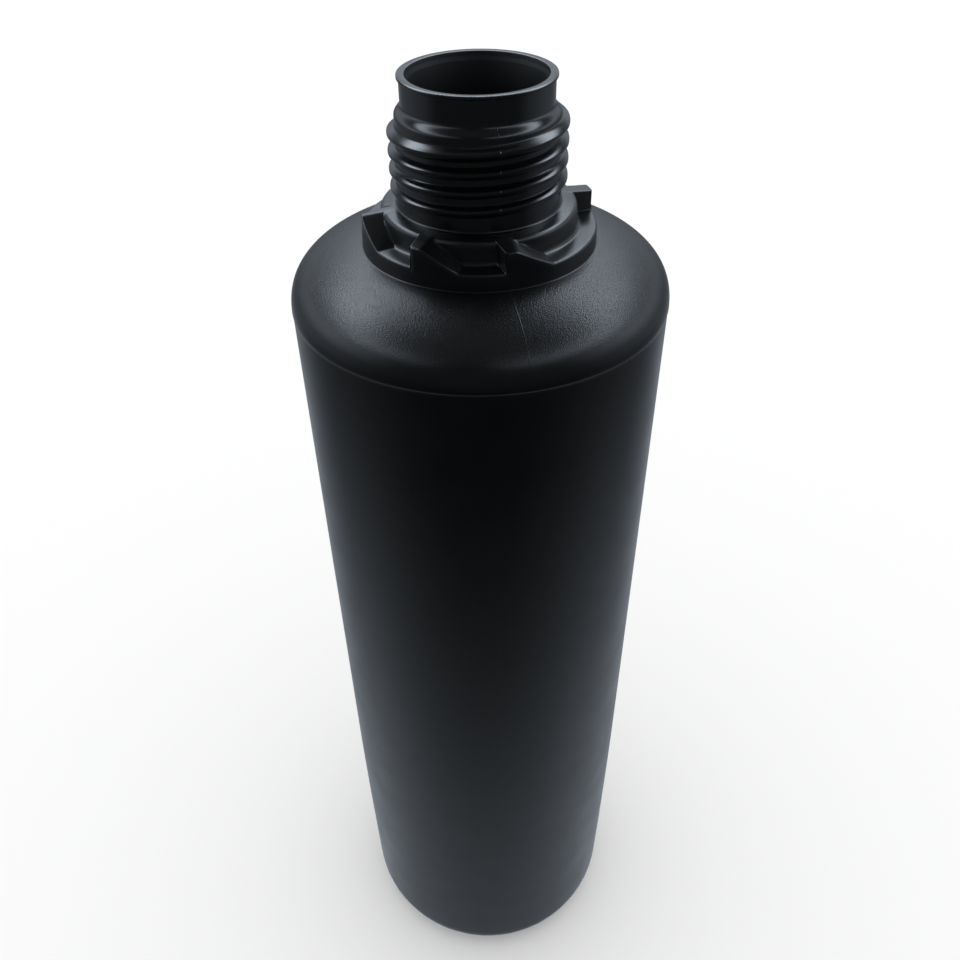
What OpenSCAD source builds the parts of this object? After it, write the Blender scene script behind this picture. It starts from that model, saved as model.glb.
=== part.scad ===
// Blow-moulded plastic bottle for a thick liquid, shown open and without its closure.
// One hollow piece: round body, domed shoulder, ratchet ring and threaded neck.
// The origin is at the middle of the foot, the neck points along +Z.

/* [Part to draw] */
// which piece to draw

/* [Body] */
// outside diameter of the straight body
body_d = 91.6; // [60:0.1:130]
// height from the foot to where the shoulder starts
body_h = 260.6; // [120:0.1:400]
// how much the radius shrinks from the straight body down to the heel
foot_taper = 0.96; // [0:0.01:3]
// height at which that shrinking starts
taper_top = 92; // [40:1:110]
// radius of the rounded heel
heel_r = 13; // [4:0.5:20]
// how far the label panel lies below the shoulder's edge
panel_step = 0.15; // [0:0.05:0.6]
// height of the moulded line that edges the panel above the start of the dome
panel_line = 1; // [0.2:0.1:3]
// wall thickness of body and shoulder
wall = 1.2; // [0.8:0.05:2]

/* [Foot] */
// diameter inside the flat standing ring
stand_d = 50; // [20:0.5:60]
// height of the pushed-up middle of the foot
push_up = 4; // [1:0.1:8]
// wall thickness of the foot
foot_wall = 1.8; // [1:0.1:3]

/* [Shoulder] */
// rise of the full shoulder dome above the body
dome_h = 15.9; // [8:0.1:40]
// radius at which the dome curve is centred
dome_centre = 7.3; // [0:0.1:14]
// fullness of the dome curve, 2 is an ellipse
dome_power = 2.64; // [2:0.02:4]

/* [Ratchet ring] */
// outside diameter of the ring at the foot of the neck
ring_d = 54.7; // [50:0.1:60]
// height of the ring wall above the dome
ring_h = 8.6; // [7:0.1:14]
// rounding of the ring's top outer edge
ring_edge = 1; // [0.2:0.1:1.4]
// rise of the ring's top from its outer edge to the neck
ring_rise = 0.9; // [0:0.1:3]
// wall thickness at the ring
ring_wall = 1.5; // [1:0.1:2]
// depth of the pockets below the ring's outer edge
pocket_depth = 4.6; // [2:0.1:6]
// diameter of the wall on the neck side of the pockets
pocket_in_d = 45.2; // [43:0.1:48]
// rounding at the top of that wall
bead_r = 2; // [0.4:0.1:2.4]
// slope between that wall and the pocket floor
pocket_slope = 2; // [0.4:0.1:2.4]

/* [Ratchet teeth] */
// angle from one tooth to the next; two of the eight places on the ring stay empty
tooth_angle = 45; // [40:0.5:60]
// angle of one upright end, counted from the front (-Y) towards +X
first_stop = 10.8; // [-20:0.1:20]
// angle by which an upright end is turned away from the ring's radius
stop_tilt = 12.5; // [0:0.5:20]
// angles that the tops of the left, front, right and back right teeth take
tooth_top = [4, 7, 6, 9]; // [2:0.5:12]
// angles that their ramps take on the ring's outside
ramp_angle = [20, 18, 18.7, 16.5]; // [10:0.1:22]
// directions in which their ramps fall
ramp_lie = [-71, -20, 14, 117]; // [-180:1:180]

/* [Neck] */
// height of the neck above the ring's top
neck_h = 27.6; // [24:0.1:40]
// diameter at the thin line where the neck meets the ring
neck_low_d = 37.8; // [37:0.1:39]
// diameter of the neck between the threads
root_d = 36.4; // [35:0.1:38]
// diameter of the plain collar above the threads
collar_d = 33.5; // [32.5:0.1:35]
// height from the rim to the foot of the collar
collar_h = 5.7; // [4:0.1:6]
// height of the slope from collar to thread root
step_h = 2.5; // [1:0.1:3]
// diameter of the rim
rim_d = 34.4; // [33.8:0.1:36]
// height of the rim's straight edge
rim_h = 0.8; // [0.4:0.1:1.6]
// height of the slope under the rim
rim_slope = 1.1; // [0.4:0.1:2]
// diameter of the bore through the neck
bore_d = 30.2; // [26:0.1:31]
// depth of the wider mouth above the inner ledge
ledge_depth = 2.3; // [1:0.1:4]
// width of the inner ledge
ledge_w = 0.35; // [0.1:0.05:0.6]

/* [Thread] */
// diameter over the thread
thread_d = 40; // [38.5:0.1:42]
// height gained in one turn
pitch = 4; // [3:0.001:5]
// number of turns
turns = 4; // [1:0.25:4]
// half width of the thread where it leaves the neck
thread_half = 1.55; // [0.8:0.05:1.8]
// half width of the flat on the crest
crest_half = 0.45; // [0.1:0.05:0.6]
// depth of the thread's upper end below the rim
thread_top = 8.75; // [7.5:0.05:12]
// angle over which each end of the thread runs out
run_out = 40; // [15:5:90]

/* [Hidden] */
$fn = 96;

body_r = body_d / 2;
panel_r = body_r - panel_step;
foot_r = panel_r - foot_taper;
stand_r = stand_d / 2;
ring_r = ring_d / 2;
pocket_in_r = pocket_in_d / 2;
root_r = root_d / 2;
neck_low_r = neck_low_d / 2;
collar_r = collar_d / 2;
rim_r = rim_d / 2;
bore_r = bore_d / 2;
thread_r = thread_d / 2;

// Heights of the joints between the parts of the outline.
function dome_z(r, a, b) = body_h + b * pow(1 - pow((r - dome_centre) / a, dome_power), 1 / dome_power);
dome_a = body_r - dome_centre;
ring_z = dome_z(ring_r, dome_a, dome_h);
ring_top = ring_z + ring_h;
neck_z = ring_top + ring_rise;
rim_z = neck_z + neck_h;
floor_z = ring_top - pocket_depth;
// height of the ring's sloped top at a radius
function top_z(r) = neck_z - ring_rise * (r - neck_low_r) / (ring_r - neck_low_r);

// One dome curve from the body up to radius r_end; a and b are its half axes.
function dome(a, b, r_end, n) =
    let (t_end = acos(pow((r_end - dome_centre) / a, dome_power / 2)))
    [for (i = [0 : n]) let (t = t_end * i / n)
        [dome_centre + a * pow(cos(t), 2 / dome_power), body_h + b * pow(sin(t), 2 / dome_power)]];

// Body from the heel up, drawn in by "in": a gentle taper, then straight.
function side(in, n) = [for (i = [0 : n]) let (z = heel_r + (taper_top - heel_r) * i / n)
    [panel_r - in - foot_taper * pow(1 - i / n, 1.6), z]];

// Pushed-up foot: an arc from the middle to the standing ring.
foot_ball = (stand_r * stand_r + push_up * push_up) / (2 * push_up);
function foot(lift, n) = [for (i = [0 : n]) let (r = stand_r * i / n)
    [r, lift + push_up - foot_ball + sqrt(foot_ball * foot_ball - r * r)]];

function arc(c, r, a0, a1, n) = [for (i = [0 : n]) let (a = a0 + (a1 - a0) * i / n)
    [c[0] + r * cos(a), c[1] + r * sin(a)]];

outside = concat(
    foot(0, 10),
    arc([foot_r - heel_r, heel_r], heel_r, -90, 0, 14),
    [for (p = side(0, 8)) if (p[1] > heel_r + 0.01) p],
    [[panel_r, body_h + panel_line - panel_step], [body_r, body_h + panel_line]],
    [for (p = dome(dome_a, dome_h, ring_r, 24)) if (p[1] > body_h + panel_line + 0.2) p],
    arc([ring_r - ring_edge, ring_top - ring_edge], ring_edge, 0, 75, 4),
    [[neck_low_r, neck_z],
     [root_r, rim_z - collar_h - step_h],
     [collar_r, rim_z - collar_h],
     [collar_r, rim_z - rim_h - rim_slope],
     [rim_r, rim_z - rim_h],
     [rim_r, rim_z],
     [0, rim_z]]);

// The hollow runs from above the rim to the inside of the foot.
ring_in = ring_r - ring_wall;
ring_roof = top_z(ring_r) - ring_wall - ring_edge;
inside = concat(
    foot(foot_wall, 10),
    arc([foot_r - heel_r, heel_r], heel_r - foot_wall, -90, 0, 12),
    [for (p = side(wall, 8)) if (p[1] > heel_r + 2) p],
    dome(dome_a - wall, dome_h - wall, ring_in, 20),
    [[ring_in, ring_roof],
     [neck_low_r - ring_wall, neck_z - 1.6 * ring_wall],
     [bore_r, neck_z + ring_wall],
     [bore_r, rim_z - ledge_depth],
     [bore_r + ledge_w, rim_z - ledge_depth],
     [bore_r + ledge_w, rim_z + 1],
     [0, rim_z + 1]]);

// A pocket between two teeth, from the top of its ramp to an upright end.
// place counts the teeth from first_stop, length is in teeth, kind picks the ramp,
// turn is the half turn of the ramps that nobody has seen, and grow makes the same
// shape larger all round, for the hollow behind it.
module pocket(place, length, kind, turn, grow) {
    stop = first_stop + place * tooth_angle;
    ramp_top = stop - length * tooth_angle + tooth_top[kind];
    ramp_foot = ramp_top + ramp_angle[kind];
    lie = ramp_lie[kind] + turn;
    r0 = pocket_in_r - grow;
    z0 = floor_z - grow;
    out_r = ring_r + 3;
    up_r = neck_low_r + 0.6;
    up_z = neck_z + 4;
    run = ring_r * (cos(lie) * (sin(ramp_foot) - sin(ramp_top)) - sin(lie) * (cos(ramp_foot) - cos(ramp_top)));
    fall = atan(pocket_depth / run);
    back = 9;
    past = 12;
    intersection() {
        rotate([0, 0, ramp_top - back - 90])
            rotate_extrude(angle = stop + past - ramp_top + back)
                polygon(concat(
                    [[out_r, z0], [r0 + pocket_slope, z0], [r0, z0 + pocket_slope]],
                    arc([r0 - bead_r, top_z(pocket_in_r) - bead_r], bead_r, 0, 66, 4),
                    [[up_r, up_z], [out_r, up_z]]));
        // everything above the ramp
        translate([ring_r * sin(ramp_foot), -ring_r * cos(ramp_foot), floor_z])
            rotate([0, 0, lie])
                rotate([0, fall, 0])
                    translate([-ring_d, -ring_d, -grow])
                        cube([2 * ring_d, 2 * ring_d, ring_d]);
        // everything before the upright end
        rotate([0, 0, stop - 90])
            translate([(pocket_in_r + ring_r) / 2, 0, z0 - 1])
                rotate([0, 0, stop_tilt])
                    translate([-2 * ring_d, grow - 3 * ring_d, 0])
                        cube([3 * ring_d, 3 * ring_d, ring_d]);
    }
}

// Two places on opposite sides of the ring carry no tooth, so two pockets are long.
module pockets(grow) {
    pocket(-1, 1, 0, 0, grow);
    pocket(0, 1, 1, 0, grow);
    pocket(2, 2, 2, 0, grow);
    pocket(3, 1, 3, 0, grow);
    pocket(4, 1, 1, 180, grow);
    pocket(6, 2, 2, 180, grow);
}

// Round-crested thread, run out to the neck at both ends.
steps = 36;
function thread_ring(i) =
    let (a = i * 360 / steps,
         left = turns * 360 - a,
         k = min(1, a / run_out, left / run_out),
         rise = (thread_r - root_r) * (0.5 - 0.5 * cos(180 * k)),
         z = rim_z - thread_top - pitch * left / 360,
         az = 180 - turns * 360 + a,
         deep = root_r - 0.9,
         w = thread_half * (0.55 + 0.45 * k))
    [for (p = [[deep, -w], [root_r - 0.25 + 0.2 * k, -w], [root_r - 0.15 + 0.62 * rise, -0.62 * w], [root_r - 0.15 + rise + 0.15 * k, -crest_half],
               [root_r - 0.15 + rise + 0.15 * k, crest_half], [root_r - 0.15 + 0.62 * rise, 0.62 * w], [root_r - 0.25 + 0.2 * k, w], [deep, w]])
        [p[0] * sin(az), -p[0] * cos(az), z + p[1]]];

module thread() {
    n = round(turns * steps);
    m = 8;
    pts = [for (i = [0 : n]) each thread_ring(i)];
    walls = [for (i = [0 : n - 1], j = [0 : m - 1])
        let (a = i * m + j, b = i * m + (j + 1) % m)
        each [[a, b, b + m], [a, b + m, a + m]]];
    ends = [for (j = [1 : m - 2]) each [[0, j + 1, j], [n * m, n * m + j, n * m + j + 1]]];
    polyhedron(points = pts, faces = concat(walls, ends), convexity = 10);
}

module bottle() {
    color([0.06, 0.065, 0.07])
    difference() {
        union() {
            difference() {
                rotate_extrude() polygon(outside);
                pockets(0);
            }
            thread();
        }
        difference() {
            rotate_extrude() polygon(inside);
            pockets(ring_wall);
        }
    }
}

bottle();
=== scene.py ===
import math

import bmesh
import bpy
import numpy as np
from mathutils import Matrix, Vector


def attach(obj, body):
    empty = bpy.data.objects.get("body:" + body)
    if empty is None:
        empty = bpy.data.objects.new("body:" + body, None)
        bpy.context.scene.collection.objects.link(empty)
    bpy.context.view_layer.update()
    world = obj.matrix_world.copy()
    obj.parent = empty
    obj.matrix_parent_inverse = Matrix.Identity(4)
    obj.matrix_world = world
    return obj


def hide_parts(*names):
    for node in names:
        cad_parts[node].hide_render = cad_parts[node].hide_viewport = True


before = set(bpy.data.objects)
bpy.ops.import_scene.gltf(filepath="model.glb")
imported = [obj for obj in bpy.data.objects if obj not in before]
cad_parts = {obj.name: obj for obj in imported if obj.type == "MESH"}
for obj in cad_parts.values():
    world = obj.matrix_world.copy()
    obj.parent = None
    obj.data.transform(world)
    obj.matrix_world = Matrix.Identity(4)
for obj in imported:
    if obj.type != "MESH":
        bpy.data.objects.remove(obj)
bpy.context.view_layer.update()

MM = 0.001  # one millimetre in metres

# Sizes of the bottle in millimetres, the same as in the solids
BODY_R, BODY_H, PANEL_STEP, PANEL_LINE = 45.8, 260.6, 0.15, 1.0
PANEL_R = BODY_R - PANEL_STEP
TAPER, TAPER_TOP, HEEL_R = 0.96, 92.0, 13.0
FOOT_R = PANEL_R - TAPER
STAND_R, PUSH_UP, WALL, FOOT_WALL = 25.0, 4.0, 1.2, 1.8
DOME_H, DOME_C, DOME_P = 15.9, 7.3, 2.64
RING_R, RING_H, RING_RISE, RING_WALL = 27.35, 8.6, 0.9, 1.5
POCKET_D, POCKET_R = 4.6, 22.6
NECK_H, NECK_LOW, ROOT_R = 27.6, 18.9, 18.2
COLLAR_R, COLLAR_H, STEP_H = 16.75, 5.7, 2.5
RIM_R = 17.2
BORE_R, LEDGE_W = 15.1, 0.35
THREAD_R, PITCH, TURNS, THREAD_TOP, RUN_OUT = 20.0, 4.0, 4.0, 8.75, 40.0
SEAM = 13.0  # azimuth of the mould's parting line

# Forms that are finer than in the solids, in millimetres
CREST, FLANK_UP, FLANK_DOWN = 0.45, 1.3, 1.55  # half a crest, and where its flanks end
CREASE = 0.072  # how softly a flank meets the crest and the root
BEAD_R = 1.15  # top of the wall behind the pockets
HOLLOW_H, HOLLOW_W = 0.7, 0.8  # height and width of the rounding between that wall and a floor
FILLET, RING_FILLET = 0.32, 0.18  # at the foot of the neck and at the foot of the ring
EDGE_MAX, EDGE_MIN = 0.5, 0.4  # rounding of the ring's outer edge, on floors and on teeth
CORNER = 0.85  # rounding of the upright outer corner of a tooth
BEHIND_RAMP, TOOTH_EDGE = 0.45, 0.3  # rounding beside a ramp, and at both edges of a tooth
SOFT_FOOT, SOFT_TOP = 0.25, 0.3  # how softly a ramp leaves the floor and meets the top
LINE_DOME, LINE_RING, LINE_NECK, LINE_CREST = 0.025, 0.03, 0.04, 0.09  # height of the parting line
LINE_HALF = 0.06  # columns nearer than this to the parting line stand out with it
MEAN_R, NECK_MEAN_R = 30.0, 19.0  # radii that turn a sideways shift into degrees


def dome_z(r, a, b):
    return BODY_H + b * (1 - ((r - DOME_C) / a) ** DOME_P) ** (1 / DOME_P)


DOME_A = BODY_R - DOME_C
RING_Z = dome_z(RING_R, DOME_A, DOME_H)
RING_TOP = RING_Z + RING_H
NECK_Z = RING_TOP + RING_RISE
RIM_Z = NECK_Z + NECK_H
FLOOR_Z = RING_TOP - POCKET_D


def top_z(r):
    """Height of the ring's sloped top at a radius."""
    return NECK_Z - RING_RISE * (r - NECK_LOW) / (RING_R - NECK_LOW)


def turned(a, b):
    """Degrees from azimuth b to azimuth a, between -180 and 180."""
    return (a - b + 180) % 360 - 180


def along(deg, r):
    """Length in millimetres of an angle at a radius."""
    return deg * np.pi / 180 * r


def ease(a, b, x):
    t = np.clip((x - a) / (b - a), 0, 1)
    return t * t * (3 - 2 * t)


def soft_min(a, b, k):
    h = np.clip(0.5 + 0.5 * (b - a) / k, 0, 1)
    return b * (1 - h) + a * h - k * h * (1 - h)


def soft_max(a, b, k):
    return -soft_min(-a, -b, k)


def hollow(d, size):
    """A concave rounding of a given size, at a distance from the corner."""
    d = np.clip(d, 0, size)
    return size - np.sqrt(np.maximum(size ** 2 - (size - d) ** 2, 0))


# The pockets of the ring in degrees: upright end before it, its own upright end, and
# where its ramp starts and ends, each at the outer and at the inner radius
POCKETS = [
    (-79, -34, -75.3, -74.0, -55.5, -54.5),
    (-34, 11, -27.2, -27.0, -9.3, -8.3),
    (11, 101, 16.9, 18.3, 35.6, 39.0),
    (101, 146, 110.0, 109.6, 126.5, 127.5),
    (146, 191, 152.5, 153.0, 171.0, 172.0),
    (191, 281, 196.9, 198.3, 215.6, 219.0),
]
STOPS = np.array([p[1] for p in POCKETS], float)
STOP_IN, STOP_OUT = -1.6, 0.9  # how far an upright end leans, inside and outside


def share(r):
    """0 at the wall behind the pockets, 1 at the outside of the ring."""
    return (r - POCKET_R) / (RING_R - POCKET_R)


def lean(a, r):
    """How far the columns of the mesh lean near an upright end, in degrees."""
    off = np.abs(turned(a[:, None], STOPS[None, :])).min(1)
    near = 1 - ease(2.0, 7.0, off)
    fade = np.clip((r - 19.0) / 1.6, 0, 1)
    return near * fade * (STOP_IN + (STOP_OUT - STOP_IN) * share(r))


def ring_height(a, r):
    """Height of the ring's upper side on columns a (degrees) at radius r (mm)."""
    r = np.broadcast_to(np.asarray(r, float), a.shape)
    top = top_z(r)
    az = a + lean(a, r)
    out = top.copy()
    u = share(r)
    d = np.clip(r - POCKET_R, 0, HOLLOW_W)
    floor = FLOOR_Z + HOLLOW_H * (1 - d / HOLLOW_W) ** 1.7
    bead_top = top_z(POCKET_R - BEAD_R)
    over = np.clip(r - POCKET_R + BEAD_R, 0, BEAD_R)
    bead = bead_top - BEAD_R + np.sqrt(np.maximum(BEAD_R ** 2 - over ** 2, 0))
    floor = np.where(r < POCKET_R, bead, floor)
    wall_fillet = np.where(r < POCKET_R, 0, hollow(r - POCKET_R, BEHIND_RAMP))
    for start, stop, top_o, top_i, foot_o, foot_i in POCKETS:
        rel = (a - start) % 360.0
        inside = rel < (stop - start)
        t = top_i + (top_o - top_i) * u
        f = foot_i + (foot_o - foot_i) * u
        back = turned(f, az)
        ramp = FLOOR_Z + (top - FLOOR_Z) * back / (f - t) + wall_fillet
        z = soft_max(floor, ramp, SOFT_FOOT)
        z = z + hollow(along(stop - start - rel, r), TOOTH_EDGE)
        z = np.minimum(soft_min(top, z, SOFT_TOP), top)
        edge = top - hollow(along(rel, r), TOOTH_EDGE)
        out = np.where(inside, np.minimum(z, edge), out)
    return out


def corner_cut(a, z):
    """How far the outer wall is drawn in at the upright corner of a tooth."""
    cut = np.zeros_like(a)
    for p in POCKETS:
        d = along(turned(a, p[1]), RING_R)
        cut = np.maximum(cut, np.where(d > 0, hollow(d, CORNER), 0))
    return cut * ease(FLOOR_Z - 0.9, FLOOR_Z + 0.3, z)


# Extra columns to each side of an upright end (degrees) and of the parting line (millimetres)
TOOTH_MARKS = (0.03, 0.16, 0.35, 0.62, 1.0, 1.5)
SEAM_MARKS = (0.03, 0.1, 0.2, 0.42)


def columns(step, teeth, seam):
    """Columns of the mesh: azimuths in degrees and sideways shifts in millimetres."""
    marks = []
    if teeth:
        for s in STOPS:
            for o in TOOTH_MARKS:
                marks += [(s, o, 0.0), (s, -o, 0.0)]
    if seam:
        for s in (SEAM, SEAM + 180):
            for o in SEAM_MARKS:
                marks += [(s, 0.0, o), (s, 0.0, -o)]
    gap_t, gap_s = 1.5 + 0.6 * step, 1.4 + 0.3 * step
    cols = []
    for k in range(int(round(360 / step))):
        c = k * step
        if all(abs(turned(c, m[0])) > (gap_s if m[2] else gap_t) for m in marks):
            cols.append((c, 0.0))
    cols += [((m[0] + m[1]) % 360, m[2]) for m in marks]
    cols.sort(key=lambda c: c[0] + math.degrees(c[1] / MEAN_R))
    return np.array([c[0] for c in cols]), np.array([c[1] for c in cols])


FINE = columns(0.75, True, True)
NECK = columns(1.0, False, True)
MID = columns(1.5, False, True)
COARSE = columns(2.5, False, False)


def order(cols):
    """Where each column stands round the bottle, in degrees."""
    return cols[0] + np.degrees(cols[1] / MEAN_R)


def on_line(o):
    return (np.abs(o) < LINE_HALF) & (o != 0)


def add_ring(band, cols, r, z, lift=0.0, normal=(1.0, 0.0), leaning=False):
    """One closed ring of vertices; lift is how far the parting line stands out."""
    a0, o = cols
    r = np.broadcast_to(np.asarray(r, float), a0.shape).copy()
    z = np.broadcast_to(np.asarray(z, float), a0.shape).copy()
    shift = lean(a0, r) if leaning else 0.0
    up = np.where(on_line(o), lift, 0.0)
    r += up * normal[0]
    z += up * normal[1]
    a = np.radians(a0 + shift) + o / np.maximum(r, 1.0)
    band.append((order(cols), np.stack([r * np.sin(a), -r * np.cos(a), z], 1)))


def arc(c, r, a0, a1, n):
    """Points (radius, height) on an arc between two angles in degrees."""
    return [(c[0] + r * math.cos(math.radians(a0 + (a1 - a0) * i / n)),
             c[1] + r * math.sin(math.radians(a0 + (a1 - a0) * i / n))) for i in range(n + 1)]


def dome(a, b, r_end, n):
    """The shoulder's curve, from the side up to a radius."""
    t_end = math.acos(((r_end - DOME_C) / a) ** (DOME_P / 2))
    return [(DOME_C + a * math.cos(t_end * i / n) ** (2 / DOME_P),
             BODY_H + b * math.sin(t_end * i / n) ** (2 / DOME_P)) for i in range(n + 1)]


def side(inset, n):
    """The tapered lower side, from the heel up."""
    return [(PANEL_R - inset - TAPER * (1 - i / n) ** 1.6, HEEL_R + (TAPER_TOP - HEEL_R) * i / n)
            for i in range(n + 1)]


# Radius of the ball whose cap is the pushed-up foot
BALL = (STAND_R ** 2 + PUSH_UP ** 2) / (2 * PUSH_UP)


def foot(lift, n):
    """The pushed-up middle of the foot, from near its centre out to the standing ring."""
    return [(STAND_R * i / n, lift + PUSH_UP - BALL + math.sqrt(BALL ** 2 - (STAND_R * i / n) ** 2))
            for i in range(1, n + 1)]


lower, upper = [], []  # the two bands of rings, below and above the threads

# Outside, from the middle of the foot up to the shoulder's line
points = foot(0, 6) + arc((FOOT_R - HEEL_R, HEEL_R), HEEL_R, -90, 0, 14) + side(0, 8)[1:]
SIDE_ROWS = (120, 150, 180, 210, 235, 252, 258, 260.2)
points += [(PANEL_R, z) for z in SIDE_ROWS]
for r, z in points:
    add_ring(lower, COARSE, r, z)
line_z = BODY_H + PANEL_LINE
for r, z in ((PANEL_R, BODY_H), (PANEL_R, line_z - 0.24), (PANEL_R + 0.02, line_z - 0.17),
             (BODY_R - 0.02, line_z - 0.04), (BODY_R, line_z + 0.04)):
    add_ring(lower, MID, r, z)

# Shoulder
dome_pts = [p for p in dome(DOME_A, DOME_H, RING_R, 40) if p[1] > line_z + 0.3]
dome_pts = [p for p in dome_pts if p[0] > RING_R + 2 * RING_FILLET] + [dome_pts[-1]]
for p, q in zip(dome_pts[:-1], dome_pts[1:]):
    n = np.array([q[1] - p[1], p[0] - q[0]])
    add_ring(lower, MID, p[0], p[1], LINE_DOME, n / np.linalg.norm(n))

# Ring: its foot, its wall, the rounded edge, floors and ramps, the wall behind them, the bead
FILLET_STEPS = (0, 22, 45, 67)
FLOOR_ROWS = (26.2, 25.8, 25.3, 24.9, 24.5, 24.15, 23.8, 23.5, 23.25, 23.05, 22.9)
WALL_FOOT = 22.78  # radius of the last row before the wall behind the pockets
a_fine = FINE[0]
edge = np.full_like(a_fine, EDGE_MAX)
for _ in range(2):
    h_edge = ring_height(a_fine, RING_R - edge)
    edge = EDGE_MAX - (EDGE_MAX - EDGE_MIN) * np.clip((h_edge - FLOOR_Z) / POCKET_D, 0, 1)
for deg in FILLET_STEPS:
    r = RING_R + RING_FILLET * (1 - math.sin(math.radians(deg)))
    z = dome_z(r, DOME_A, DOME_H) + RING_FILLET * (1 - math.cos(math.radians(deg)))
    add_ring(lower, FINE, r, z, LINE_RING, leaning=True)
wall_z = RING_Z + RING_FILLET
for t in (0.0, 0.1, 0.26, 0.36, 0.43, 0.51, 0.62, 0.78, 1.0):
    z = wall_z + (h_edge - edge - wall_z) * t
    add_ring(lower, FINE, RING_R - corner_cut(a_fine, z), z, LINE_NECK, leaning=True)
for deg in (15, 30, 45, 60, 75, 90):
    c, s = math.cos(math.radians(deg)), math.sin(math.radians(deg))
    z = h_edge - edge + edge * s
    cut = corner_cut(a_fine, z) * max(0.0, c)
    add_ring(lower, FINE, RING_R - edge + edge * c - cut, z, leaning=True)
for r in FLOOR_ROWS + (WALL_FOOT,):
    add_ring(lower, FINE, r, ring_height(a_fine, r), leaning=True)
h_out, h_in = ring_height(a_fine, WALL_FOOT), ring_height(a_fine, POCKET_R - 0.001)
for t in (0.2, 0.45, 0.7, 1.0):
    r = WALL_FOOT + (POCKET_R - WALL_FOOT) * min(1, t * 1.6)
    add_ring(lower, FINE, r, h_out + (h_in - h_out) * t, leaning=True)
for deg in (14, 28, 42, 56, 72, 90):
    r = POCKET_R - BEAD_R + BEAD_R * math.cos(math.radians(deg))
    add_ring(lower, FINE, r, ring_height(a_fine, r), leaning=True)
for r in (20.2, 19.7, 19.35):
    add_ring(lower, FINE, r, top_z(r), LINE_RING, (0, 1), leaning=True)
z_low, z_high = NECK_Z + 0.35, RIM_Z - COLLAR_H + 0.3  # ends of the thread's grid
for deg in FILLET_STEPS:
    r = NECK_LOW - 0.04 + FILLET * (1 - math.sin(math.radians(deg)))
    add_ring(lower, NECK, r, top_z(r) + FILLET * (1 - math.cos(math.radians(deg))))


# Neck with its thread, on a grid that follows the thread
def ramp_up(x):
    """0 below 0 and x above it, with a soft bend between."""
    return CREASE * np.logaddexp(0, x / CREASE)


def thread_lift(a, z):
    """How far the thread stands out of the neck at an azimuth (degrees) and a height."""
    best = np.zeros_like(a)
    for k in range(-1, 6):
        turn = (a - 180) % 360 + 360 * k
        left = TURNS * 360 - turn
        on = (turn >= 0) & (left >= 0)
        dz = z - (RIM_Z - THREAD_TOP - PITCH * left / 360)
        fade = np.clip(np.minimum(turn, left) / RUN_OUT, 0, 1)
        rise = (THREAD_R - ROOT_R) * (0.5 - 0.5 * np.cos(np.pi * fade))
        t = (ramp_up(dz + FLANK_DOWN) - ramp_up(dz + CREST)) / (FLANK_DOWN - CREST)
        t -= (ramp_up(dz - CREST) - ramp_up(dz - FLANK_UP)) / (FLANK_UP - CREST)
        best = np.maximum(best, np.where(on, rise * t, 0))
    return best


def neck_r(z):
    """Radius of the neck without its thread."""
    z_root = RIM_Z - COLLAR_H - STEP_H
    t = np.clip((z - NECK_Z) / (z_root - NECK_Z), 0, 1)
    s = ease(0, STEP_H, z - z_root)
    return (NECK_LOW - 0.05 + (ROOT_R - NECK_LOW + 0.05) * t) * (1 - s) + COLLAR_R * s


def neck_point(a0, o, z):
    """Points of the neck at azimuths, sideways shifts and heights."""
    lift = thread_lift(a0 + np.degrees(o / NECK_MEAN_R), z)
    base = neck_r(z)
    r = np.where(lift > 0.02, np.maximum(base, ROOT_R + lift), base)
    line = np.where(lift > 0.6 * (THREAD_R - ROOT_R), LINE_CREST, LINE_NECK)
    r = r + np.where(on_line(o), line, 0.0)
    a = np.radians(a0) + o / r
    return np.stack([r * np.sin(a), -r * np.cos(a), z], 1)


ROWS_PER_TURN = 18
DZ = PITCH / ROWS_PER_TURN
z_first, z_last = z_low + 0.45 * DZ, z_high - 0.45 * DZ  # the rows keep clear of the end rings
neck_cols = []  # for each column: row numbers, heights
for a0, o in zip(*NECK):
    rise = PITCH * (a0 + math.degrees(o / NECK_MEAN_R)) / 360
    k0 = math.ceil((z_first - z_low - rise) / DZ)
    k1 = math.floor((z_last - z_low - rise) / DZ)
    ks = np.arange(k0, k1 + 1)
    neck_cols.append((ks, z_low + rise + ks * DZ))

first_ring = neck_point(*NECK, np.full(len(NECK[0]), z_low))
last_ring = neck_point(*NECK, np.full(len(NECK[0]), z_high))
lower.append((order(NECK), first_ring))
upper.append((order(NECK), last_ring))

# Collar, then the rim's thin flange, its land and the sloped ledge inside it
for z in (RIM_Z - 4.6, RIM_Z - 3.4, RIM_Z - 1.9):
    add_ring(upper, NECK, COLLAR_R, z, LINE_NECK)
mouth_r = BORE_R + LEDGE_W
for r, z in ((COLLAR_R, RIM_Z - 0.78), (COLLAR_R + 0.05, RIM_Z - 0.72), (RIM_R - 0.05, RIM_Z - 0.56),
             (RIM_R, RIM_Z - 0.5), (RIM_R, RIM_Z - 0.16), (RIM_R - 0.03, RIM_Z - 0.07),
             (RIM_R - 0.11, RIM_Z - 0.02), (mouth_r + 0.1, RIM_Z), (mouth_r + 0.03, RIM_Z - 0.03),
             (mouth_r, RIM_Z - 0.1), (mouth_r, RIM_Z - 0.86), (mouth_r - 0.04, RIM_Z - 1.0),
             (BORE_R + 0.05, RIM_Z - 1.78), (BORE_R, RIM_Z - 1.95)):
    add_ring(upper, NECK, r, z)

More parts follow.
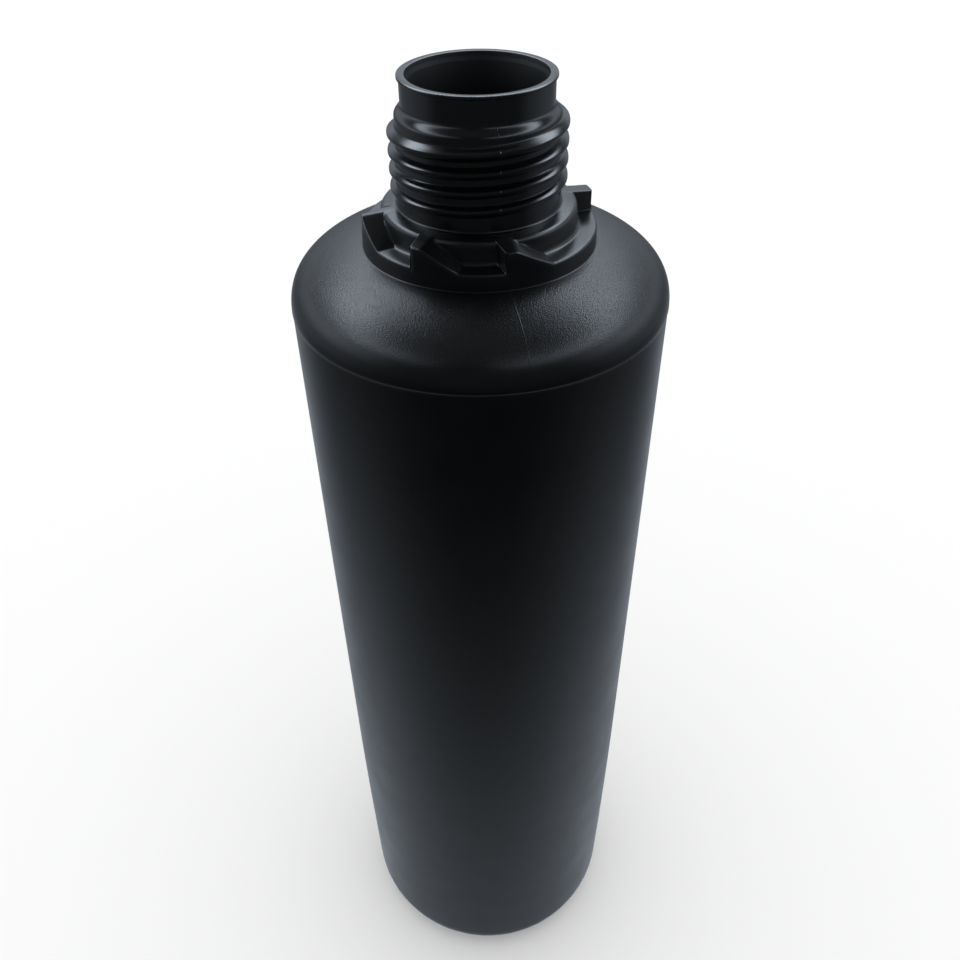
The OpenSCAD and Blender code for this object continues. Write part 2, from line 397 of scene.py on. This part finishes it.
# Inside, from the bore down to the foot
ring_in, wall_in = RING_R - RING_WALL, POCKET_R - RING_WALL
inner = [(BORE_R, RIM_Z - 8), (BORE_R, RIM_Z - 16), (BORE_R, NECK_Z + RING_WALL), (16.2, NECK_Z - 0.2),
         (18.4, NECK_Z - 2.6), (wall_in - 0.6, NECK_Z - 3.0), (wall_in, NECK_Z - 3.8),
         (wall_in, FLOOR_Z - RING_WALL), (ring_in - 0.5, FLOOR_Z - RING_WALL - 0.2),
         (ring_in, FLOOR_Z - RING_WALL - 0.8)]
inner += dome(DOME_A - WALL, DOME_H - WALL, ring_in, 14)[::-1]
inner += [(PANEL_R - WALL, z) for z in (240, 200, 160, 120)]
inner += side(WALL, 6)[1:][::-1]
inner += arc((FOOT_R - HEEL_R, HEEL_R), HEEL_R - FOOT_WALL, 0, -90, 9)
inner += foot(FOOT_WALL, 5)[::-1]
for r, z in inner:
    add_ring(upper, COARSE, r, z)


def zip_rings(na, nb, ia, ib, aa, ab):
    """Faces between two closed rings; quads when they match, triangles when they don't."""
    if na == nb and np.allclose(aa, ab):
        return [(ia + k, ia + (k + 1) % na, ib + (k + 1) % na, ib + k) for k in range(na)]
    faces, i, j = [], 0, 0
    while i < na or j < nb:
        ta = aa[i + 1] if i + 1 < na else aa[0] + 360
        tb = ab[j + 1] if j + 1 < nb else ab[0] + 360
        if j >= nb or (i < na and ta <= tb):
            faces.append((ia + i % na, ia + (i + 1) % na, ib + j % nb))
            i += 1
        else:
            faces.append((ia + i % na, ib + (j + 1) % nb, ib + j % nb))
            j += 1
    return faces


def zip_columns(left, right):
    """Faces between two upright columns of (row, vertex), from the lowest row up."""
    faces, i, j = [], 0, 0
    while i + 1 < len(left) or j + 1 < len(right):
        ki = left[i + 1][0] if i + 1 < len(left) else math.inf
        kj = right[j + 1][0] if j + 1 < len(right) else math.inf
        if i + 1 < len(left) and j + 1 < len(right) and ki == kj:
            faces.append((left[i][1], right[j][1], right[j + 1][1], left[i + 1][1]))
            i, j = i + 1, j + 1
        elif i + 1 < len(left) and ki <= kj and not (ki == math.inf and j + 1 < len(right)):
            faces.append((left[i][1], right[j][1], left[i + 1][1]))
            i += 1
        else:
            faces.append((left[i][1], right[j][1], right[j + 1][1]))
            j += 1
    return faces


SHARP_DEG = 38  # edges that bend more than this stay sharp


def build(name):
    verts, faces, total = [], [], 0

    def put(p):
        nonlocal total
        verts.append(p)
        total += len(p)
        return total - len(p)

    def put_band(band):
        starts = [put(p) for _, p in band]
        for k in range(len(band) - 1):
            faces.extend(zip_rings(len(band[k][1]), len(band[k + 1][1]), starts[k], starts[k + 1],
                                   band[k][0], band[k + 1][0]))
        return starts

    low = put_band(lower)
    high = put_band(upper)
    strips = []
    for j, (ks, zs) in enumerate(neck_cols):
        a0, o = NECK[0][j], NECK[1][j]
        s = put(neck_point(np.full(len(ks), a0), np.full(len(ks), o), zs))
        strips.append([(-math.inf, low[-1] + j)] + [(int(k), s + i) for i, k in enumerate(ks)]
                      + [(math.inf, high[0] + j)])
    n = len(strips)
    for j in range(n):
        right = strips[(j + 1) % n]
        if j + 1 == n:  # one turn further: the rows are a whole pitch higher
            right = [(k - ROWS_PER_TURN if abs(k) < math.inf else k, v) for k, v in right]
        faces.extend(zip_columns(strips[j], right))
    middle = put(np.array([[0, 0, PUSH_UP], [0, 0, PUSH_UP + FOOT_WALL]]))
    n0, n1 = len(lower[0][1]), len(upper[-1][1])
    faces += [(middle, (k + 1) % n0, k) for k in range(n0)]
    faces += [(middle + 1, high[-1] + k, high[-1] + (k + 1) % n1) for k in range(n1)]
    mesh = bpy.data.meshes.new(name)
    mesh.from_pydata((np.vstack(verts) * MM).tolist(), [], faces)
    mesh.validate()
    mesh.update()
    mesh.polygons.foreach_set("use_smooth", [True] * len(mesh.polygons))
    mesh.set_sharp_from_angle(angle=math.radians(SHARP_DEG))
    obj = bpy.data.objects.new(name, mesh)
    bpy.context.scene.collection.objects.link(obj)
    bm = bmesh.new()
    bm.from_mesh(mesh)
    print("triangles", sum(len(p.vertices) - 2 for p in mesh.polygons),
          "open edges", sum(1 for e in bm.edges if not e.is_manifold), "volume", bm.calc_volume())
    bm.free()
    return obj


bottle = build("bottle_shell")


# Material: near-black satin plastic, with a fine grain on the shoulder
def node(tree, kind, place=(0, 0), **props):
    n = tree.nodes.new(kind)
    n.location = place
    for k, v in props.items():
        setattr(n, k, v)
    return n


def black_plastic():
    mat = bpy.data.materials.new("black_plastic")
    mat.use_nodes = True
    t = mat.node_tree
    t.nodes.clear()
    out = node(t, "ShaderNodeOutputMaterial", (900, 0))
    bsdf = node(t, "ShaderNodeBsdfPrincipled", (600, 0))
    t.links.new(bsdf.outputs[0], out.inputs[0])
    bsdf.inputs["IOR"].default_value = 1.5
    bsdf.inputs["Specular IOR Level"].default_value = 0.5
    coord = node(t, "ShaderNodeTexCoord", (-1400, 0))
    split = node(t, "ShaderNodeSeparateXYZ", (-1200, -300))
    t.links.new(coord.outputs["Object"], split.inputs[0])

    # colour: a faint cloudiness in the pigment
    cloud = node(t, "ShaderNodeTexNoise", (-900, 300))
    cloud.inputs["Scale"].default_value = 35
    cloud.inputs["Detail"].default_value = 3
    t.links.new(coord.outputs["Object"], cloud.inputs["Vector"])
    ramp = node(t, "ShaderNodeValToRGB", (-600, 300))
    ramp.color_ramp.elements[0].position = 0.3
    ramp.color_ramp.elements[0].color = (0.0006, 0.0008, 0.0011, 1)
    ramp.color_ramp.elements[1].position = 0.75
    ramp.color_ramp.elements[1].color = (0.0012, 0.0014, 0.0018, 1)
    t.links.new(cloud.outputs["Fac"], ramp.inputs["Fac"])
    t.links.new(ramp.outputs["Color"], bsdf.inputs["Base Color"])

    # where the shoulder carries its grain: between its outer rounding and the ring
    up = node(t, "ShaderNodeMapRange", (-900, -300), interpolation_type="SMOOTHSTEP")
    up.inputs["From Min"].default_value = (BODY_H + 5.0) * MM
    up.inputs["From Max"].default_value = (BODY_H + 9.5) * MM
    t.links.new(split.outputs["Z"], up.inputs["Value"])
    down = node(t, "ShaderNodeMapRange", (-900, -520), interpolation_type="SMOOTHSTEP")
    down.inputs["From Min"].default_value = (RING_Z - 0.2) * MM
    down.inputs["From Max"].default_value = (RING_Z + 0.1) * MM
    down.inputs["To Min"].default_value = 1.0
    down.inputs["To Max"].default_value = 0.0
    t.links.new(split.outputs["Z"], down.inputs["Value"])
    zone = node(t, "ShaderNodeMath", (-680, -400), operation="MULTIPLY")
    t.links.new(up.outputs["Result"], zone.inputs[0])
    t.links.new(down.outputs["Result"], zone.inputs[1])

    # grain: small irregular pebbles, about a third of a millimetre
    peb = node(t, "ShaderNodeTexNoise", (-900, -760))
    peb.inputs["Scale"].default_value = 3300
    peb.inputs["Detail"].default_value = 1.0
    peb.inputs["Roughness"].default_value = 0.55
    t.links.new(coord.outputs["Object"], peb.inputs["Vector"])
    amount = node(t, "ShaderNodeMapRange", (-480, -500))
    amount.inputs["To Min"].default_value = 0.10
    amount.inputs["To Max"].default_value = 1.0
    t.links.new(zone.outputs[0], amount.inputs["Value"])
    height = node(t, "ShaderNodeMath", (-280, -700), operation="MULTIPLY")
    t.links.new(peb.outputs["Fac"], height.inputs[0])
    t.links.new(amount.outputs["Result"], height.inputs[1])
    bump = node(t, "ShaderNodeBump", (300, -500))
    bump.inputs["Strength"].default_value = 1.0
    bump.inputs["Distance"].default_value = 0.00007
    t.links.new(height.outputs[0], bump.inputs["Height"])
    t.links.new(bump.outputs["Normal"], bsdf.inputs["Normal"])

    # gloss: a little uneven, glossier on the neck, dull inside the mouth
    uneven = node(t, "ShaderNodeTexNoise", (-900, 60))
    uneven.inputs["Scale"].default_value = 90
    uneven.inputs["Detail"].default_value = 4
    t.links.new(coord.outputs["Object"], uneven.inputs["Vector"])
    rough = node(t, "ShaderNodeMapRange", (-600, 60))
    rough.inputs["From Min"].default_value = 0.3
    rough.inputs["From Max"].default_value = 0.7
    rough.inputs["To Min"].default_value = 0.27
    rough.inputs["To Max"].default_value = 0.32
    t.links.new(uneven.outputs["Fac"], rough.inputs["Value"])
    smooth = node(t, "ShaderNodeMapRange", (-600, -120))
    smooth.inputs["From Min"].default_value = (NECK_Z - 0.6) * MM
    smooth.inputs["From Max"].default_value = (NECK_Z + 0.6) * MM
    smooth.inputs["To Min"].default_value = 0.0
    smooth.inputs["To Max"].default_value = 0.09
    t.links.new(split.outputs["Z"], smooth.inputs["Value"])
    less = node(t, "ShaderNodeMath", (-300, 0), operation="SUBTRACT")
    t.links.new(rough.outputs["Result"], less.inputs[0])
    t.links.new(smooth.outputs["Result"], less.inputs[1])
    flat = node(t, "ShaderNodeCombineXYZ", (-900, -1100))
    t.links.new(split.outputs["X"], flat.inputs["X"])
    t.links.new(split.outputs["Y"], flat.inputs["Y"])
    radius = node(t, "ShaderNodeVectorMath", (-700, -1100), operation="LENGTH")
    t.links.new(flat.outputs[0], radius.inputs[0])
    dull = node(t, "ShaderNodeMapRange", (-500, -1100))
    dull.inputs["From Min"].default_value = (BORE_R + LEDGE_W + 0.02) * MM
    dull.inputs["From Max"].default_value = (BORE_R + LEDGE_W + 0.12) * MM
    dull.inputs["To Min"].default_value = 0.36
    dull.inputs["To Max"].default_value = 0.0
    t.links.new(radius.outputs["Value"], dull.inputs["Value"])
    more = node(t, "ShaderNodeMath", (-100, 0), operation="ADD")
    t.links.new(less.outputs[0], more.inputs[0])
    t.links.new(dull.outputs["Result"], more.inputs[1])
    t.links.new(more.outputs[0], bsdf.inputs["Roughness"])
    return mat


bottle.data.materials.append(black_plastic())
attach(bottle, "root")
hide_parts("bottle")


# Stage: a pale floor. The bottle's gloss sees the card just above it instead.
def plain(name, colour):
    m = bpy.data.materials.new(name)
    m.use_nodes = True
    b = m.node_tree.nodes["Principled BSDF"]
    b.inputs["Base Color"].default_value = colour
    b.inputs["Roughness"].default_value = 0.9
    b.inputs["Specular IOR Level"].default_value = 0.1
    return m


FLOOR_R, ROOM_R = 8.0, 7.0  # metres
CARD_Z = 0.0005  # height of the card above the floor, in metres
LIGHT_COLOUR = (0.86, 0.96, 1.08, 1)  # cool daylight, in the gloss only


def disc(name, radius, z, n=128):
    turns = [2 * math.pi * k / n for k in range(n)]
    v = [(radius * math.cos(a), radius * math.sin(a), z) for a in turns]
    me = bpy.data.meshes.new(name)
    me.from_pydata(v, [], [tuple(range(n))])
    o = bpy.data.objects.new(name, me)
    bpy.context.scene.collection.objects.link(o)
    return o


floor = disc("floor", FLOOR_R, 0.0)
floor.data.materials.append(plain("floor_paper", (0.9, 0.9, 0.9, 1)))
floor.visible_glossy = False


def glow(name, build_nodes):
    """A light-giving material; build_nodes links its strength."""
    m = bpy.data.materials.new(name)
    m.use_nodes = True
    t = m.node_tree
    t.nodes.clear()
    out = node(t, "ShaderNodeOutputMaterial", (600, 0))
    em = node(t, "ShaderNodeEmission", (400, 0))
    t.links.new(em.outputs[0], out.inputs[0])
    em.inputs["Color"].default_value = LIGHT_COLOUR
    build_nodes(t, em)
    return m


def only_in_gloss(o):
    o.visible_camera = False
    o.visible_diffuse = False
    o.visible_shadow = False
    o.visible_transmission = False
    o.visible_volume_scatter = False


def calc(t, kind, a, b=0.0, clamp=False):
    """One Math node; a and b are numbers or sockets."""
    m = node(t, "ShaderNodeMath", operation=kind, use_clamp=clamp)
    for k, v in enumerate((a, b)):
        if isinstance(v, (int, float)):
            m.inputs[k].default_value = v
        else:
            t.links.new(v, m.inputs[k])
    return m.outputs[0]


def curve(t, value, stops):
    """A value that follows straight lines between stops of (input 0-1, output 0-1)."""
    r = node(t, "ShaderNodeValToRGB")
    e = r.color_ramp.elements
    while len(e) < len(stops):
        e.new(0.5)
    for k, (x, y) in enumerate(stops):
        e[k].position = x
        e[k].color = (y, y, y, 1)
    t.links.new(value, r.inputs[0])
    return r.outputs["Color"]


def soft_step(t, value, start, end):
    m = node(t, "ShaderNodeMapRange", interpolation_type="SMOOTHSTEP")
    m.inputs["From Min"].default_value = start
    m.inputs["From Max"].default_value = end
    t.links.new(value, m.inputs["Value"])
    return m.outputs["Result"]


def parts(t, unit):
    """X, Y and Z of a stage surface, as a direction of length 1 if unit is set."""
    c = node(t, "ShaderNodeTexCoord")
    out = c.outputs["Object"]
    if unit:
        n = node(t, "ShaderNodeVectorMath", operation="NORMALIZE")
        t.links.new(out, n.inputs[0])
        out = n.outputs[0]
    s = node(t, "ShaderNodeSeparateXYZ")
    t.links.new(out, s.inputs[0])
    return s.outputs["X"], s.outputs["Y"], s.outputs["Z"]


FLOOR_NEAR, FLOOR_FAR = 0.62, 0.34  # strengths of the floor near the bottle and far from it


def floor_tone(t, em):
    """The floor as the bottle's gloss sees it: it fades with distance, mostly in front."""
    x, y, _ = parts(t, False)
    dist = calc(t, "SQRT", calc(t, "ADD", calc(t, "MULTIPLY", x, x), calc(t, "MULTIPLY", y, y)))
    ahead = calc(t, "DIVIDE", calc(t, "MULTIPLY", y, -1.0), calc(t, "MAXIMUM", dist, 0.01))
    bent = calc(t, "MULTIPLY", calc(t, "MULTIPLY", ahead, calc(t, "ABSOLUTE", ahead)), 0.55)
    reach = calc(t, "MULTIPLY", dist, calc(t, "MAXIMUM", calc(t, "ADD", bent, 0.45), 0.05))
    fall = calc(t, "POWER", calc(t, "DIVIDE", reach, 0.14), 1.5)
    near = calc(t, "MULTIPLY", calc(t, "EXPONENT", calc(t, "MULTIPLY", fall, -1.0)), FLOOR_NEAR)
    near = calc(t, "MINIMUM", near, calc(t, "SUBTRACT", 0.64, calc(t, "MULTIPLY", ahead, 0.29)))
    fading = calc(t, "MULTIPLY", soft_step(t, dist, 0.4, 0.9), 0.7)
    near = calc(t, "MULTIPLY", near, calc(t, "SUBTRACT", 1.0, fading))
    beside = calc(t, "MULTIPLY", soft_step(t, ahead, 0.75, 0.0), soft_step(t, ahead, -1.1, -0.3))
    far = calc(t, "MAXIMUM", calc(t, "MULTIPLY", beside, FLOOR_FAR), 0.1)
    far = calc(t, "MULTIPLY", far, soft_step(t, dist, 0.45, 0.95))
    t.links.new(calc(t, "ADD", near, far), em.inputs["Strength"])


card = disc("floor_card", FLOOR_R, CARD_Z)
card.data.materials.append(glow("floor_card", floor_tone))
only_in_gloss(card)

# Two long soft panels curve round the bottle, from beside the camera to behind it.
# Their strength follows the azimuth, given in half turns from the front.
PANEL_POWER, PANEL_OUT, PANEL_IN = 8.0, 0.105, 0.045  # strength, outer and inner half width
PANEL_RIGHT = [(0.04, 0.0), (0.11, 0.12), (0.2, 0.17), (0.36, 0.25), (0.47, 0.55), (0.58, 0.72),
               (0.68, 0.80), (0.84, 0.74), (0.92, 0.48), (1.0, 0.5)]
PANEL_LEFT = [(0.12, 0.0), (0.25, 0.11), (0.36, 0.24), (0.47, 0.53), (0.58, 0.76), (0.64, 0.92),
              (0.74, 0.92), (0.84, 0.80), (0.92, 0.48), (1.0, 0.5)]
# Height of the panels' middle line, in quarter turns above the horizon
PANEL_RISE = [(0.1, 0.407), (0.48, 0.415), (0.57, 0.46), (0.64, 0.51), (0.82, 0.50), (0.92, 0.39),
              (1.0, 0.37)]
# The glow above the horizon, by azimuth and by height
GLOW_ROUND = [(0.28, 0.04), (0.42, 0.6), (0.52, 1.0), (0.62, 0.7), (0.75, 0.45), (1.0, 0.45)]
GLOW_RISE = [(0.0, 0.35), (0.1, 0.6), (0.2, 1.0), (0.32, 0.0)]
GLOW_POWER, CEILING_POWER, DIM = 1.9, 0.12, 0.04  # DIM is the strength everywhere


def room_tone(t, em):
    """The soft panels, over a pale horizon and under a dim ceiling."""
    x, y, z = parts(t, True)
    azimuth = calc(t, "ARCTAN2", x, calc(t, "MULTIPLY", y, -1.0))
    turn = calc(t, "DIVIDE", calc(t, "ABSOLUTE", azimuth), math.pi)
    height = calc(t, "DIVIDE", calc(t, "ARCSINE", z), math.pi / 2)
    on_right = calc(t, "GREATER_THAN", x, 0.0)
    right = calc(t, "MULTIPLY", curve(t, turn, PANEL_RIGHT), on_right)
    left = calc(t, "MULTIPLY", curve(t, turn, PANEL_LEFT), calc(t, "SUBTRACT", 1.0, on_right))
    off = calc(t, "ABSOLUTE", calc(t, "SUBTRACT", height, curve(t, turn, PANEL_RISE)))
    band = soft_step(t, off, PANEL_OUT, PANEL_IN)
    panels = calc(t, "MULTIPLY", calc(t, "MULTIPLY", calc(t, "ADD", right, left), band), PANEL_POWER)
    glow_low = calc(t, "MULTIPLY", curve(t, height, GLOW_RISE), GLOW_POWER)
    low = calc(t, "MULTIPLY", curve(t, turn, GLOW_ROUND), glow_low)
    ceiling = calc(t, "MULTIPLY", soft_step(t, height, 0.3, 0.8), CEILING_POWER)
    total = calc(t, "ADD", calc(t, "ADD", panels, low), calc(t, "ADD", ceiling, DIM))
    t.links.new(total, em.inputs["Strength"])


def room():
    me = bpy.data.meshes.new("room")
    bm = bmesh.new()
    bmesh.ops.create_uvsphere(bm, u_segments=48, v_segments=24, radius=ROOM_R)
    bm.to_mesh(me)
    bm.free()
    o = bpy.data.objects.new("room", me)
    bpy.context.scene.collection.objects.link(o)
    me.materials.append(glow("room", room_tone))
    only_in_gloss(o)


room()

world = bpy.data.worlds.new("studio")
world.use_nodes = True
bg = world.node_tree.nodes["Background"]
bg.inputs["Color"].default_value = (1.0, 1.0, 1.0, 1)
bg.inputs["Strength"].default_value = 1.12
bpy.context.scene.world = world
bpy.context.scene.view_settings.view_transform = "Standard"

# Camera, from the fit of the photograph's outlines: focal length in pixels, angles in radians,
# distance and height above the rim in body radii
R_M = BODY_R * MM
SENSOR_MM, WIDTH_PX = 36.0, 960.0
F_PX, PITCH_C, DIST, RISE, ROLL, PAN = 916.09, 0.695360, 4.42439, 1.25141, -0.0163478, -0.00397628

cp, sp = math.cos(PAN), math.sin(PAN)
ct, st = math.cos(PITCH_C), math.sin(PITCH_C)
cr, sr = math.cos(ROLL), math.sin(ROLL)
right = Vector((cp, -sp, 0))
fwd = Vector((sp * ct, cp * ct, -st))
upv = Vector((sp * st, cp * st, ct))
right2 = right * cr + upv * sr
up2 = upv * cr - right * sr
cam_data = bpy.data.cameras.new("camera")
cam_data.sensor_width = SENSOR_MM
cam_data.lens = F_PX / WIDTH_PX * SENSOR_MM
cam_data.clip_start, cam_data.clip_end = 0.01, 50
cam = bpy.data.objects.new("camera", cam_data)
bpy.context.scene.collection.objects.link(cam)
place = Vector((0, -DIST * R_M, RIM_Z * MM + RISE * R_M))
cam.matrix_world = Matrix((
    (right2.x, up2.x, -fwd.x, place.x),
    (right2.y, up2.y, -fwd.y, place.y),
    (right2.z, up2.z, -fwd.z, place.z),
    (0, 0, 0, 1)))
bpy.context.scene.camera = cam
